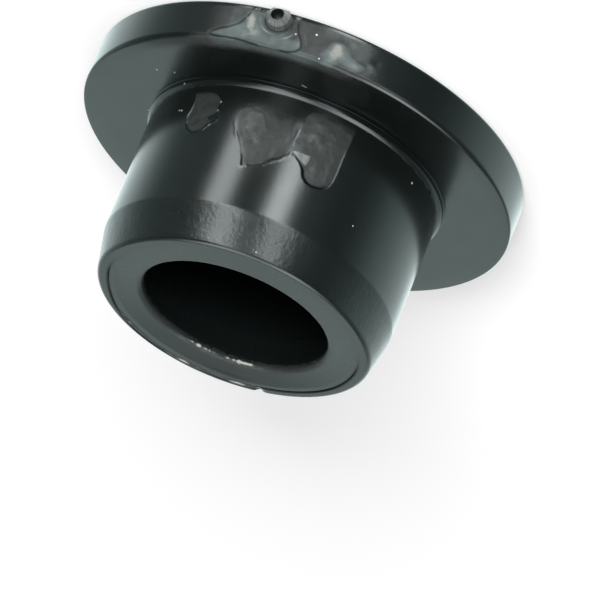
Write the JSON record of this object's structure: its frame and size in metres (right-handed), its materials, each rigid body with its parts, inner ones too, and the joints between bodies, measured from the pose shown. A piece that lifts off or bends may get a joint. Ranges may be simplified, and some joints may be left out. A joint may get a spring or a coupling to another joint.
{
  "type": "flanged hollow stopper",
  "caption": "Round black plastic stopper: a hollow spigot with a lead-in end, under a broad flange that rests on the rim of the hole it plugs.",
  "frame": {"origin": "centre of the flange's flat outer face, which the stopper stands on", "axes": "+Z along the axis, from the flange to the open end of the barrel; the moulding gate on the rim points along -Y"},
  "size_m": [0.03, 0.0303, 0.0151],
  "materials": {
    "black_plastic": "moulded gloss, near black"
  },
  "bodies": {
    "root": {"stopper": "black_plastic"}
  },
  "joints": []
}
